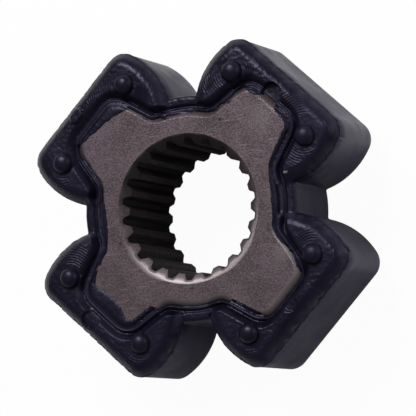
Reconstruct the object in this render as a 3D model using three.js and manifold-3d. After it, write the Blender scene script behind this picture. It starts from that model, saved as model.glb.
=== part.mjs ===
// Steering coupler: a splined steel hub with four lobes, moulded into a rubber cross with
// four flared arms. It lies on the hub's rear face, with the bore upright along +Z and the
// arms on the diagonals of X and Y. Lengths are in millimetres and angles in degrees.
import * as THREE from 'three';
import { mergeVertices } from 'three/addons/utils/BufferGeometryUtils.js';
import Module from 'manifold-3d';

// Spline: straight-sided teeth of one millimetre module round the bore.
const toothCount = 22;
const toothTipRadius = 11.0;
const toothRootRadius = 12.1;
const toothTipWidth = 1.05;
const toothRootWidth = 2.5;
const firstToothAngle = -3.2;

// Hub blank.
const hubLength = 21.6;
const mouthRadius = 12.7;
const mouthDepth = 1.2;
const hubWebRadius = 16.4;
const lobeCount = 4;
const lobeReach = 23.2;
const lobeTipWidth = 11.0;
const lobeRootWidth = 14.8;
const lobeRootReach = 15.0;
const lobeCornerRadius = 3.2;
const lobeFilletRadius = 3.0;
const hubEdgeChamfer = 0.9;

// Rubber cross.
const bondGap = 0.3;
const armRearHeight = 3.6;
const armRimHeight = 20.4;
const armFrontHeight = 22.2;
const shoulderWidth = 2.3;
const armFlatReach = 27.9;
const armCentreReach = 21.9;
const armRoundRadius = 13.4;
const armCornerRadius = 3.3;
const webRadius = 19.2;
const webRearHeight = 4.1;
const webFrontHeight = 20.7;
const rimRadius = 0.8;
const faceGrooveWidth = 0.5;
const faceGrooveDepth = 0.9;

// Two nubs and a round moulding mark on the front of each arm. The mark is torn out of the
// first arm, stands proud on the second and is sunk into the others.
const nubReach = 24.1;
const nubHalfAngle = 20.9;
const nubRadius = 1.8;
const nubHeight = 1.5;
const gateReach = 25.0;
const gateRadius = 1.5;
const gateSteps = [0, 0.2, -0.4, -0.4];
const tornReach = 24.0;
const tornAngle = 47.0;
const tornRadius = 1.8;
const tornDepth = 1.4;

// Facets along round stretches.
const degreesPerFacet = 9;
const turnedFacets = 88;
const markFacets = 16;
const nubSteps = 3;
const rimSteps = 2;
const shoulderSteps = 3;
const overrun = 1.0;

const radians = THREE.MathUtils.degToRad;
const wasm = await Module();
wasm.setup();

// A closed three.js geometry as a solid that can be joined and cut.
function solidOf(geometry) {
  const bare = geometry.index ? geometry.toNonIndexed() : geometry.clone();
  bare.deleteAttribute('normal');
  bare.deleteAttribute('uv');
  const merged = mergeVertices(bare, 1e-4);
  const vertProperties = new Float32Array(merged.attributes.position.array);
  const triVerts = new Uint32Array(merged.index.array);
  return new wasm.Manifold(new wasm.Mesh({ numProp: 3, vertProperties, triVerts }));
}

// A solid as a three.js geometry.
function geometryOf(solid) {
  const mesh = solid.getMesh();
  const geometry = new THREE.BufferGeometry();
  const positions = new Float32Array(mesh.vertProperties);
  geometry.setAttribute('position', new THREE.BufferAttribute(positions, 3));
  geometry.setIndex(new THREE.BufferAttribute(new Uint32Array(mesh.triVerts), 1));
  geometry.computeVertexNormals();
  return geometry;
}

function polar(radius, degrees) {
  return new THREE.Vector2(radius * Math.cos(radians(degrees)), radius * Math.sin(radians(degrees)));
}

function degreesOf(vector) {
  return THREE.MathUtils.radToDeg(Math.atan2(vector.y, vector.x));
}

// Points along an arc, both ends included.
function arc(centre, radius, from, to) {
  const steps = Math.max(1, Math.ceil(Math.abs(to - from) / degreesPerFacet));
  const points = [];
  for (let i = 0; i <= steps; i += 1) {
    points.push(polar(radius, from + ((to - from) * i) / steps).add(centre));
  }
  return points;
}

// A half outline on one side of the X axis, mirrored and turned into a full outline.
function outlineFromHalf(half, count, firstAngle) {
  const mirrored = half.map((p) => new THREE.Vector2(p.x, -p.y)).reverse();
  const sector = mirrored.concat(half);
  const points = [];
  for (let k = 0; k < count; k += 1) {
    const turn = radians(firstAngle + (360 / count) * k);
    sector.forEach((p) => points.push(p.clone().rotateAround(new THREE.Vector2(), turn)));
  }
  return withoutDoubles(points);
}

function withoutDoubles(points) {
  return points.filter((p, i) => p.distanceTo(points[(i + 1) % points.length]) > 1e-3);
}

// An outline swept along Z between two heights.
function prism(points, low, high) {
  const geometry = new THREE.ExtrudeGeometry(new THREE.Shape(points), {
    depth: high - low,
    bevelEnabled: false,
  });
  geometry.translate(0, 0, low);
  return solidOf(geometry);
}

// Outlines with equal numbers of points, each at its own height, closed into one solid.
function stacked(outlines, heights) {
  const count = outlines[0].length;
  const last = (outlines.length - 1) * count;
  const corners = outlines.flatMap((outline, level) => outline.flatMap((p) => [p.x, p.y, heights[level]]));
  const triangles = [];
  for (let start = 0; start < last; start += count) {
    for (let i = 0; i < count; i += 1) {
      const a = start + i;
      const b = start + ((i + 1) % count);
      triangles.push(a, b, b + count, a, b + count, a + count);
    }
  }
  THREE.ShapeUtils.triangulateShape(outlines[0], [])
    .forEach(([a, b, c]) => triangles.push(a, c, b));
  THREE.ShapeUtils.triangulateShape(outlines[outlines.length - 1], [])
    .forEach((triangle) => triangles.push(...triangle.map((i) => last + i)));
  const geometry = new THREE.BufferGeometry();
  geometry.setAttribute('position', new THREE.Float32BufferAttribute(corners, 3));
  geometry.setIndex(triangles);
  return solidOf(geometry);
}

// A profile of radius and height, listed counterclockwise, turned round the bore.
function turned(profile) {
  const points = profile.map(([radius, height]) => new THREE.Vector2(radius, height));
  const geometry = new THREE.LatheGeometry(points, turnedFacets);
  geometry.rotateX(Math.PI / 2);
  return solidOf(geometry);
}

// Tooth and space outline of the spline.
function splineOutline() {
  const tipHalf = THREE.MathUtils.radToDeg(toothTipWidth / 2 / toothTipRadius);
  const rootHalf = THREE.MathUtils.radToDeg(toothRootWidth / 2 / toothRootRadius);
  const half = [polar(toothTipRadius, tipHalf), polar(toothRootRadius, rootHalf)];
  return outlineFromHalf(half, toothCount, firstToothAngle);
}

// Half of one lobe in its own frame: flat end, rounded corner, tapering flank, root fillet
// and the start of the round web. Grow pushes the whole outline outwards.
function lobeHalf(grow) {
  const slope = (lobeRootWidth - lobeTipWidth) / 2 / (lobeReach - lobeRootReach);
  const flankNormal = THREE.MathUtils.radToDeg(Math.atan2(1, slope));
  const normal = polar(1, flankNormal);
  const tip = new THREE.Vector2(lobeReach, lobeTipWidth / 2);
  const flankOffset = tip.dot(normal) + grow;
  const corner = lobeCornerRadius + grow;
  const cornerX = lobeReach + grow - corner;
  const cornerY = (flankOffset - corner - cornerX * normal.x) / normal.y;
  const fillet = lobeFilletRadius - grow;
  const web = hubWebRadius + grow;
  const along = flankOffset + fillet;
  const across = Math.sqrt((web + fillet) ** 2 - along ** 2);
  const filletCentre = new THREE.Vector2(normal.x * along + normal.y * across,
    normal.y * along - normal.x * across);
  const webAngle = degreesOf(filletCentre);
  return [
    ...arc(new THREE.Vector2(cornerX, cornerY), corner, 0, flankNormal),
    ...arc(filletCentre, fillet, flankNormal - 180, webAngle - 180),
    ...arc(new THREE.Vector2(), web, webAngle, 180 / lobeCount),
  ];
}

function hubOutline(grow) {
  return outlineFromHalf(lobeHalf(grow), lobeCount, 180 / lobeCount);
}

// A cone that opens the spline's mouth at a face, run on past the face and the tooth tips.
function mouthCutter(face, inward) {
  const slope = (mouthRadius - toothTipRadius) / mouthDepth;
  const wide = [mouthRadius + slope * overrun, face - inward * overrun];
  const narrow = [toothTipRadius - slope * overrun, face + inward * (mouthDepth + overrun)];
  const [low, high] = inward > 0 ? [wide, narrow] : [narrow, wide];
  return turned([[0, low[1]], low, high, [0, high[1]]]);
}

// Four-lobed blank with chamfered edges, splined bore and coned mouths.
function makeHub() {
  const blank = chamferedHubBlank();
  const bore = prism(splineOutline(), -overrun, hubLength + overrun);
  const solid = blank
    .subtract(bore)
    .subtract(mouthCutter(0, 1))
    .subtract(mouthCutter(hubLength, -1));
  return geometryOf(solid);
}

// Both rims of the blank are cut at 45 degrees.
function chamferedHubBlank() {
  const geometry = new THREE.ExtrudeGeometry(new THREE.Shape(hubOutline(0)), {
    depth: hubLength - 2 * hubEdgeChamfer,
    bevelEnabled: true,
    bevelThickness: hubEdgeChamfer,
    bevelSize: hubEdgeChamfer,
    bevelOffset: -hubEdgeChamfer,
    bevelSegments: 1,
  });
  geometry.translate(0, 0, hubEdgeChamfer);
  return solidOf(geometry);
}

// Outline of one arm, run on as a disc past the hub: flat end, rounded corners, round side.
function armOutline(index, inset) {
  const cornerX = armFlatReach - armCornerRadius - armCentreReach;
  const cornerY = Math.sqrt((armRoundRadius - armCornerRadius) ** 2 - cornerX ** 2);
  const centre = new THREE.Vector2(armCentreReach, 0);
  const corner = new THREE.Vector2(cornerX, cornerY);
  const sideStart = degreesOf(corner);
  const half = [
    ...arc(corner.add(centre), armCornerRadius - inset, 0, sideStart),
    ...arc(centre, armRoundRadius - inset, sideStart, 180),
  ];
  return outlineFromHalf(half, 1, armAngle(index));
}

// One arm: a rounded rear rim, an upright side, and a shoulder that rises to the front.
function makeArm(index) {
  const insets = [];
  const heights = [];
  for (let i = 0; i <= rimSteps; i += 1) {
    const angle = (Math.PI / 2) * (i / rimSteps);
    insets.push(rimRadius * (1 - Math.sin(angle)));
    heights.push(armRearHeight + rimRadius * (1 - Math.cos(angle)));
  }
  for (let i = 0; i <= shoulderSteps; i += 1) {
    const part = i / shoulderSteps;
    const rise = 1 - (1 - part) ** 2;
    insets.push(shoulderWidth * part);
    heights.push(armRimHeight + (armFrontHeight - armRimHeight) * rise);
  }
  return stacked(insets.map((inset) => armOutline(index, inset)), heights);
}

// The web as a disc with rounded rims, a little thinner than the arms.
function makeWeb() {
  const edge = webRadius - rimRadius;
  const rear = arc(new THREE.Vector2(edge, webRearHeight + rimRadius), rimRadius, -90, 0);
  const front = arc(new THREE.Vector2(edge, webFrontHeight - rimRadius), rimRadius, 0, 90);
  const rim = rear.concat(front).map((p) => [p.x, p.y]);
  return turned([[0, webRearHeight], ...rim, [0, webFrontHeight]]);
}

function armAngle(index) {
  return 180 / lobeCount + (360 / lobeCount) * index;
}

// A dome standing on an arm's front, sunk a little so that it joins the face.
function nub(degrees) {
  const profile = [new THREE.Vector2(0, -overrun), new THREE.Vector2(nubRadius, -overrun)];
  for (let i = 0; i < nubSteps; i += 1) {
    const angle = (Math.PI / 2) * (i / nubSteps);
    profile.push(new THREE.Vector2(nubRadius * Math.cos(angle), nubHeight * Math.sin(angle)));
  }
  profile.push(new THREE.Vector2(0, nubHeight));
  const geometry = new THREE.LatheGeometry(profile, markFacets);
  geometry.rotateX(Math.PI / 2);
  const place = polar(nubReach, degrees);
  geometry.translate(place.x, place.y, armFrontHeight);
  return solidOf(geometry);
}

// A short upright cylinder over an arm's front, between two heights.
function disc(place, radius, low, high) {
  const geometry = new THREE.CylinderGeometry(radius, radius, high - low, markFacets);
  geometry.rotateX(Math.PI / 2);
  geometry.translate(place.x, place.y, (low + high) / 2);
  return solidOf(geometry);
}

// The moulding mark of one arm, put on or cut in, or the hole where it was torn out.
function withMark(solid, index) {
  const place = polar(gateReach, armAngle(index));
  const step = gateSteps[index];
  if (step > 0) {
    return solid.add(disc(place, gateRadius, armRimHeight, armFrontHeight + step));
  }
  if (step < 0) {
    return solid.subtract(disc(place, gateRadius, armFrontHeight + step, armFrontHeight + overrun));
  }
  const hole = disc(polar(tornReach, tornAngle), tornRadius, armFrontHeight - tornDepth,
    armFrontHeight + overrun);
  return solid.subtract(hole);
}

// Web and arms in one moulding, with a pocket for the hub and a groove round its face.
function makeRubber() {
  let solid = makeWeb();
  for (let index = 0; index < lobeCount; index += 1) {
    solid = withMark(solid.add(makeArm(index)), index);
    for (const side of [-1, 1]) {
      solid = solid.add(nub(armAngle(index) + side * nubHalfAngle));
    }
  }
  const top = armFrontHeight + nubHeight + overrun;
  const pocket = prism(hubOutline(bondGap), armRearHeight - overrun, top);
  const groove = prism(hubOutline(bondGap + faceGrooveWidth), webFrontHeight - faceGrooveDepth, top);
  return geometryOf(solid.subtract(pocket).subtract(groove));
}

function makePart() {
  const steel = new THREE.MeshStandardMaterial({
    color: 0x9a9092,
    roughness: 0.5,
    metalness: 0.9,
  });
  const rubber = new THREE.MeshStandardMaterial({
    color: 0x34343f,
    roughness: 0.7,
    metalness: 0.0,
  });
  const hub = new THREE.Mesh(makeHub(), steel);
  hub.name = 'splined_hub';
  const cross = new THREE.Mesh(makeRubber(), rubber);
  cross.name = 'rubber_cross';
  const coupler = new THREE.Group();
  coupler.add(hub, cross);
  return coupler;
}

export default makePart();
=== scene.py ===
# Steering coupler: a splined steel hub moulded into a rubber cross. Lengths in the shape
# code are millimetres in the part's own frame, and meshes are written in metres.
import math

import bpy
import numpy as np
from mathutils import Matrix, Vector, noise


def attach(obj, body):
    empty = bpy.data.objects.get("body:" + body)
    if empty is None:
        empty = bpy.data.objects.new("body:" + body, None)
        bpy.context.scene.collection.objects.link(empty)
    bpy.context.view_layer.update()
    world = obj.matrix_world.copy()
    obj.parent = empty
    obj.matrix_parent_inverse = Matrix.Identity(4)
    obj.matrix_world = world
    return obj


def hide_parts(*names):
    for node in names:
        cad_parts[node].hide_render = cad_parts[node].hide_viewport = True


bl_info = {
    "name": "Steering Coupler",
    "version": (1, 0, 0),
    "blender": (4, 5, 0),
    "location": "View3D > Sidebar > Coupler",
    "description": "Builds a splined steel hub in a moulded rubber cross",
    "category": "Add Mesh",
}

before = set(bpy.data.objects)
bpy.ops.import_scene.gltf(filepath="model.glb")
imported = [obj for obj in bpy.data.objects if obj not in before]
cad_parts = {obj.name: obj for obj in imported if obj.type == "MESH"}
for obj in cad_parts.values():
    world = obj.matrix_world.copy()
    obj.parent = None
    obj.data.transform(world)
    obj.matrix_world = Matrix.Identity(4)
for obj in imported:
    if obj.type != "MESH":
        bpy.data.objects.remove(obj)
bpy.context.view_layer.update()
MM = 0.001

# Hub outline and heights, as in the part.
HUB_LENGTH = 21.6
HUB_CHAMFER = 0.9
EDGE_ROUND = 0.05
WEB_RADIUS = 16.4
LOBE_REACH = 23.2
LOBE_TIP_HALF = 5.5
LOBE_ROOT_HALF = 7.4
LOBE_ROOT_REACH = 15.0
LOBE_CORNER = 3.2
LOBE_FILLET = 3.0
MOUTH_RADIUS = 12.7
MOUTH_DEPTH = 1.2
TOOTH_TIP = 11.0
TOOTH_ROOT = 12.1
TOOTH_TIP_WIDTH = 1.05
TOOTH_ROOT_WIDTH = 2.5
TOOTH_TIP_HALF = math.degrees(TOOTH_TIP_WIDTH / 2 / TOOTH_TIP)
TOOTH_ROOT_HALF = math.degrees(TOOTH_ROOT_WIDTH / 2 / TOOTH_ROOT)
TOOTH_COUNT = 22
HALF_PITCH = 180 / TOOTH_COUNT
FIRST_TOOTH = -3.2
LOBES = 4
MOUTH_POINTS = 32 * TOOTH_COUNT
WELD_MM = 0.002

# Rubber cross outline and heights, as in the part.
ARM_REAR = 3.6
ARM_RIM = 20.4
ARM_FRONT = 22.2
SHOULDER = 2.3
ARM_FLAT = 27.9
ARM_CENTRE = 21.9
ARM_ROUND = 13.4
ARM_CORNER = 3.3
CROSS_WEB = 19.2
CROSS_WEB_FILLET = 0.3
CROSS_WEB_FRONT = 20.7
CROSS_WEB_REAR = 4.1
RIM = 0.8
NUB_FOOT = 0.6


# Outlines.
def polar(radius, degrees):
    turn = math.radians(degrees)
    return np.array([radius * math.cos(turn), radius * math.sin(turn)])


def degrees_of(point):
    return math.degrees(math.atan2(point[1], point[0]))


def arc(centre, radius, start, end, step=1.5):
    count = max(2, int(abs(end - start) / step) + 1)
    return [np.asarray(centre) + polar(radius, a) for a in np.linspace(start, end, count)]


def joined(parts):
    """Runs of points as one polyline, without repeated points."""
    points = [parts[0][0]]
    for part in parts:
        points += [p for p in part if np.linalg.norm(p - points[-1]) > 1e-6]
    return np.array(points)


def hub_half(grow):
    """Half of one lobe, from its axis round to the middle of the web, in the lobe's frame."""
    slope = (LOBE_ROOT_HALF - LOBE_TIP_HALF) / (LOBE_REACH - LOBE_ROOT_REACH)
    flank = math.degrees(math.atan2(1, slope))
    normal = polar(1, flank)
    flank_offset = np.array([LOBE_REACH, LOBE_TIP_HALF]) @ normal + grow
    corner = LOBE_CORNER + grow
    corner_x = LOBE_REACH + grow - corner
    corner_y = (flank_offset - corner - corner_x * normal[0]) / normal[1]
    fillet = LOBE_FILLET - grow
    web = WEB_RADIUS + grow
    along = flank_offset + fillet
    across = math.sqrt((web + fillet) ** 2 - along**2)
    aside = np.array([normal[1], -normal[0]])
    centre = normal * along + aside * across
    web_angle = degrees_of(centre)
    parts = [
        [np.array([LOBE_REACH + grow, 0.0])],
        arc([corner_x, corner_y], corner, 0, flank),
        arc(centre, fillet, flank - 180, web_angle - 180),
        arc([0, 0], web, web_angle, 45),
    ]
    marks = [sum(len(p) for p in parts[:k]) - 1 for k in (2, 3)]
    return joined(parts), marks


def cross_half():
    """Half of one arm, from its axis round to the middle of the web, in the arm's frame."""
    corner_x = ARM_FLAT - ARM_CORNER - ARM_CENTRE
    corner_y = math.sqrt((ARM_ROUND - ARM_CORNER) ** 2 - corner_x**2)
    side = math.degrees(math.atan2(corner_y, corner_x))
    outer = CROSS_WEB + CROSS_WEB_FILLET
    reach = ARM_ROUND + CROSS_WEB_FILLET
    cosine = (ARM_CENTRE**2 + outer**2 - reach**2) / (2 * ARM_CENTRE * outer)
    web_angle = math.degrees(math.acos(cosine))
    fillet = polar(outer, web_angle)
    side_end = degrees_of(fillet - np.array([ARM_CENTRE, 0]))
    parts = [
        [np.array([ARM_FLAT, 0.0])],
        arc([corner_x + ARM_CENTRE, corner_y], ARM_CORNER, 0, side),
        arc([ARM_CENTRE, 0], ARM_ROUND, side, side_end),
        arc(fillet, CROSS_WEB_FILLET, side_end - 180, web_angle - 180, 8),
        arc([0, 0], CROSS_WEB, web_angle, 45),
    ]
    marks = [sum(len(p) for p in parts[:k]) - 1 for k in (2, 3)]
    return joined(parts), marks


def lengths_along(points):
    steps = np.linalg.norm(np.diff(points, axis=0), axis=1)
    return np.concatenate([[0], np.cumsum(steps)])


def points_at(points, where):
    run = lengths_along(points)
    return np.stack([np.interp(where, run, points[:, k]) for k in (0, 1)], axis=1)


def full_turn(half_points):
    """Half-sector points (axis first, gap last) mirrored and turned into a closed loop."""
    mirrored = half_points[1:-1][::-1] * np.array([1, -1])
    sector = np.concatenate([mirrored, half_points])
    loops = []
    for k in range(LOBES):
        a = math.radians(45 + 90 * k)
        turn = np.array([[math.cos(a), math.sin(a)], [-math.sin(a), math.cos(a)]])
        loops.append(sector @ turn)
    return np.concatenate(loops)


def folded(x, y):
    """Any point brought to the half-sector of its arm: reach along the arm, distance aside."""
    angle = np.arctan2(y, x)
    off = (angle % (math.pi / 2)) - math.pi / 4
    radius = np.hypot(x, y)
    return radius * np.cos(off), radius * np.abs(np.sin(off))


def distance_to(points, x, y):
    """Shortest distance from each (x, y) to a polyline."""
    best = np.full(x.shape, 1e9)
    for a, b in zip(points[:-1], points[1:]):
        ab = b - a
        t = np.clip(((x - a[0]) * ab[0] + (y - a[1]) * ab[1]) / max(ab @ ab, 1e-12), 0, 1)
        best = np.minimum(best, np.hypot(x - a[0] - t * ab[0], y - a[1] - t * ab[1]))
    return best


def smooth_step(a, b, x):
    t = np.clip((x - a) / (b - a), 0, 1)
    return t * t * (3 - 2 * t)


def soft_max(a, b, width):
    h = np.clip(0.5 + 0.5 * (a - b) / width, 0, 1)
    return b + (a - b) * h + width * h * (1 - h)


def soft_min(a, b, width):
    return -soft_max(-a, -b, width)


def field(x, y, scale, seed, detail=1):
    """Smooth noise between about -1 and 1 over points in millimetres."""
    flat = [noise.fractal(Vector((u * scale, v * scale, seed)), 1.0, 2.0, detail)
            for u, v in zip(x.ravel(), y.ravel())]
    return np.array(flat).reshape(x.shape)


# Objects and meshes.
def new_object(name, data):
    thing = bpy.data.objects.new(name, data)
    bpy.context.scene.collection.objects.link(thing)
    return thing


def mesh_object(name, points_mm, faces, values=None):
    mesh = bpy.data.meshes.new(name)
    mesh.from_pydata([tuple(p) for p in np.asarray(points_mm) * MM], [], faces)
    mesh.validate()
    for key, data in (values or {}).items():
        attribute = mesh.attributes.new(key, "FLOAT", "POINT")
        attribute.data.foreach_set("value", np.asarray(data, np.float32).ravel())
    return new_object(name, mesh)


def shade(thing, degrees):
    thing.data.polygons.foreach_set("use_smooth", [True] * len(thing.data.polygons))
    thing.data.set_sharp_from_angle(angle=math.radians(degrees))
    thing.data.update()


def ring_faces(rings, columns, close_rings, close_columns=True):
    faces = []
    for r in range(rings if close_rings else rings - 1):
        nxt = (r + 1) % rings
        for c in range(columns if close_columns else columns - 1):
            d = (c + 1) % columns
            faces.append((r * columns + c, r * columns + d, nxt * columns + d, nxt * columns + c))
    return faces


def evaluated_copy(thing, name):
    """The object with its modifiers worked out, as a plain mesh object; the source goes."""
    graph = bpy.context.evaluated_depsgraph_get()
    mesh = bpy.data.meshes.new_from_object(thing.evaluated_get(graph))
    mesh.name = name
    made = new_object(name, mesh)
    old = thing.data
    bpy.data.objects.remove(thing)
    bpy.data.meshes.remove(old)
    return made


def set_input(modifier, tree, name, value):
    for item in tree.interface.items_tree:
        if item.item_type == "SOCKET" and item.in_out == "INPUT" and item.name == name:
            modifier[item.identifier] = value
            return
    raise RuntimeError(f"{tree.name} has no input named {name}")


def hand_over(thing, slot, *nodes):
    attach(thing, "root")
    if nodes:
        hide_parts(*nodes)


# Node helpers.
class Wires:
    """Short calls that add nodes to a tree and join them."""

    def __init__(self, tree):
        self.tree = tree
        self.column = 0

    def add(self, kind, settings=None, **inputs):
        node = self.tree.nodes.new(kind)
        node.location = (self.column * 180, 0)
        self.column += 1
        for key, value in (settings or {}).items():
            setattr(node, key, value)
        for key, value in inputs.items():
            self.put(node, key.replace("_", " "), value)
        return node

    def put(self, node, key, value):
        socket = node.inputs[int(key) if key.isdigit() else key]
        if isinstance(value, bpy.types.NodeSocket):
            self.tree.links.new(value, socket)
        else:
            socket.default_value = value

    def math(self, operation, a, b=0.0):
        node = self.tree.nodes.new("ShaderNodeMath")
        node.operation = operation
        self.put(node, "0", a)
        self.put(node, "1", b)
        return node.outputs[0]

    def blend(self, factor, a, b):
        node = self.tree.nodes.new("ShaderNodeMix")
        node.data_type = "RGBA"
        self.put(node, "0", factor)
        self.put(node, "6", a)
        self.put(node, "7", b)
        return node.outputs[2]

    def between(self, value, low, high, to_low=0.0, to_high=1.0):
        node = self.add("ShaderNodeMapRange", {"clamp": True})
        for key, item in zip("01234", (value, low, high, to_low, to_high)):
            self.put(node, key, item)
        return node.outputs[0]

    def noise(self, vector, scale, detail=2.0, roughness=0.5, distortion=0.0):
        node = self.add("ShaderNodeTexNoise", Vector=vector, Scale=scale)
        node.inputs["Detail"].default_value = detail
        node.inputs["Roughness"].default_value = roughness
        node.inputs["Distortion"].default_value = distortion
        return node.outputs[0]


def blank_wires(owner):
    """Calls for the node tree of a material or a world, which starts empty."""
    owner.use_nodes = True
    owner.node_tree.nodes.clear()
    return Wires(owner.node_tree)


def new_group(name, kind, inputs, outputs):
    tree = bpy.data.node_groups.new(name, kind)
    for label, socket, default in inputs:
        item = tree.interface.new_socket(label, in_out="INPUT", socket_type="NodeSocket" + socket)
        if default is not None:
            item.default_value = default
    for label, socket in outputs:
        tree.interface.new_socket(label, in_out="OUTPUT", socket_type="NodeSocket" + socket)
    wires = Wires(tree)
    return tree, wires, wires.add("NodeGroupInput"), wires.add("NodeGroupOutput")


def use_group(wires, tree, **inputs):
    node = wires.add("ShaderNodeGroup")
    node.node_tree = tree
    for key, value in inputs.items():
        wires.put(node, key.replace("_", " "), value)
    return node


def once(name, make):
    return bpy.data.node_groups.get(name) or make(name)


# Shared surface effects.
def grain_group(name):
    """Fine grain over a broad cloud: a height and a cloud mask."""
    tree, w, source, sink = new_group(
        name, "ShaderNodeTree",
        [("Vector", "Vector", None), ("Fine Scale", "Float", 2500.0),
         ("Broad Scale", "Float", 180.0), ("Broad Share", "Float", 0.4)],
        [("Height", "Float"), ("Cloud", "Float")])
    vector = source.outputs["Vector"]
    fine = w.noise(vector, source.outputs["Fine Scale"], 3.0, 0.6)
    broad = w.noise(vector, source.outputs["Broad Scale"], 3.0, 0.55, 0.4)
    share = source.outputs["Broad Share"]
    height = w.math("ADD", w.math("MULTIPLY", fine, w.math("SUBTRACT", 1.0, share)),
                    w.math("MULTIPLY", broad, share))
    w.put(sink, "Height", height)
    w.put(sink, "Cloud", broad)
    return tree


def speck_group(name):
    """Small scattered specks: a mask, and fewer of them with a higher Sparseness."""
    tree, w, source, sink = new_group(
        name, "ShaderNodeTree",
        [("Vector", "Vector", None), ("Scale", "Float", 900.0),
         ("Sparseness", "Float", 0.8), ("Size", "Float", 0.2)],
        [("Mask", "Float")])
    cells = w.add("ShaderNodeTexVoronoi", {"feature": "F1"}, Vector=source.outputs["Vector"],
                  Scale=source.outputs["Scale"])
    near = w.math("LESS_THAN", cells.outputs["Distance"], source.outputs["Size"])
    split = w.add("ShaderNodeSeparateColor", Color=cells.outputs["Color"])
    chosen = w.math("GREATER_THAN", split.outputs[0], source.outputs["Sparseness"])
    w.put(sink, "Mask", w.math("MULTIPLY", near, chosen))
    return tree


def new_material(name):
    material = bpy.data.materials.new(name)
    w = blank_wires(material)
    coordinates = w.add("ShaderNodeTexCoord").outputs["Object"]
    shader = w.add("ShaderNodeBsdfPrincipled")
    output = w.add("ShaderNodeOutputMaterial")
    w.put(output, "Surface", shader.outputs[0])
    return material, w, coordinates, shader


def attribute(w, name):
    return w.add("ShaderNodeAttribute", {"attribute_name": name}).outputs["Fac"]


def colour(rgb, strength=1.0):
    return (*(c * strength for c in rgb), 1.0)


def spot_group(name):
    """One round soft-edged spot at a place on the part, as a mask, with a slightly ragged edge."""
    tree, w, source, sink = new_group(
        name, "ShaderNodeTree",
        [("Vector", "Vector", None), ("Middle", "Vector", None),
         ("Radius", "Float", 0.001), ("Softness", "Float", 0.0003)],
        [("Mask", "Float")])
    vector = source.outputs["Vector"]
    away = w.add("ShaderNodeVectorMath", {"operation": "DISTANCE"})
    w.put(away, "0", vector)
    w.put(away, "1", source.outputs["Middle"])
    ragged = w.math("MULTIPLY", w.math("SUBTRACT", w.noise(vector, 1600.0, 2.0), 0.5),
                    source.outputs["Softness"])
    reach = w.math("ADD", away.outputs["Value"], ragged)
    soft = source.outputs["Softness"]
    radius = source.outputs["Radius"]
    mask = w.between(reach, w.math("SUBTRACT", radius, soft), w.math("ADD", radius, soft), 1.0, 0.0)
    w.put(sink, "Mask", mask)
    return tree


# Spots on the hub's front: x, y, radius and softness in mm, strength, colour.
HUB_SPOTS = (
    (16.4, -8.8, 1.1, 0.9, 0.35, (0.2, 0.19, 0.18)),
    (18.0, -10.75, 0.13, 0.05, 0.8, (0.01, 0.01, 0.012)),
    (6.96, 14.3, 0.2, 0.06, 0.75, (0.012, 0.012, 0.016)),
    (-14.2, 12.6, 0.16, 0.05, 0.6, (0.02, 0.018, 0.022)),
    (14.2, 13.8, 1.9, 1.6, 0.3, (0.23, 0.2, 0.2)),
    (-14.0, -9.5, 2.2, 1.8, 0.25, (0.05, 0.042, 0.045)))

# Scratches on the steel: direction in degrees, and how many lie across a metre.
SCRATCHES = ((35, 2600.0), (-52, 3300.0))
SCRATCH_STRETCH = 14


def sintered_colour(w, place, fine, sizes):
    """Cloudy grained steel with specks, scratches and the spots of the hub's front."""
    grain = use_group(w, once("surface_grain", grain_group), Vector=place, Fine_Scale=3000.0,
                      Broad_Scale=260.0, Broad_Share=0.25)
    specks = use_group(w, once("specks", speck_group), Vector=place, Scale=560.0, Sparseness=0.965,
                       Size=0.2)
    steel = sizes.steel_colour
    base = w.blend(w.between(grain.outputs["Cloud"], 0.36, 0.64), colour(steel, 0.8), colour(steel, 1.2))
    base = w.blend(w.between(fine, 0.5, 0.68, 0.0, 0.5), base, colour(steel, 0.35))
    base = w.blend(w.between(fine, 0.5, 0.34, 0.0, 0.4), base, colour(steel, 2.0))
    base = w.blend(w.math("MULTIPLY", specks.outputs["Mask"], 0.6), base, colour((0.02, 0.015, 0.018)))
    for degrees, across in SCRATCHES:
        turned = w.add("ShaderNodeMapping", Vector=place, Rotation=(0, 0, math.radians(degrees)),
                       Scale=(1.0, SCRATCH_STRETCH, 1.0))
        lines = w.noise(turned.outputs[0], across / SCRATCH_STRETCH, 1.0)
        base = w.blend(w.between(lines, 0.66, 0.74, 0.0, 0.4), base, colour(steel, 2.4))
    for x, y, radius, soft, strength, tint in HUB_SPOTS:
        spot = use_group(w, once("round_spot", spot_group), Vector=place,
                         Middle=(x * MM, y * MM, HUB_LENGTH * MM), Radius=radius * MM, Softness=soft * MM)
        base = w.blend(w.math("MULTIPLY", spot.outputs["Mask"], strength), base, colour(tint))
    return base, grain.outputs["Height"]


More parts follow.
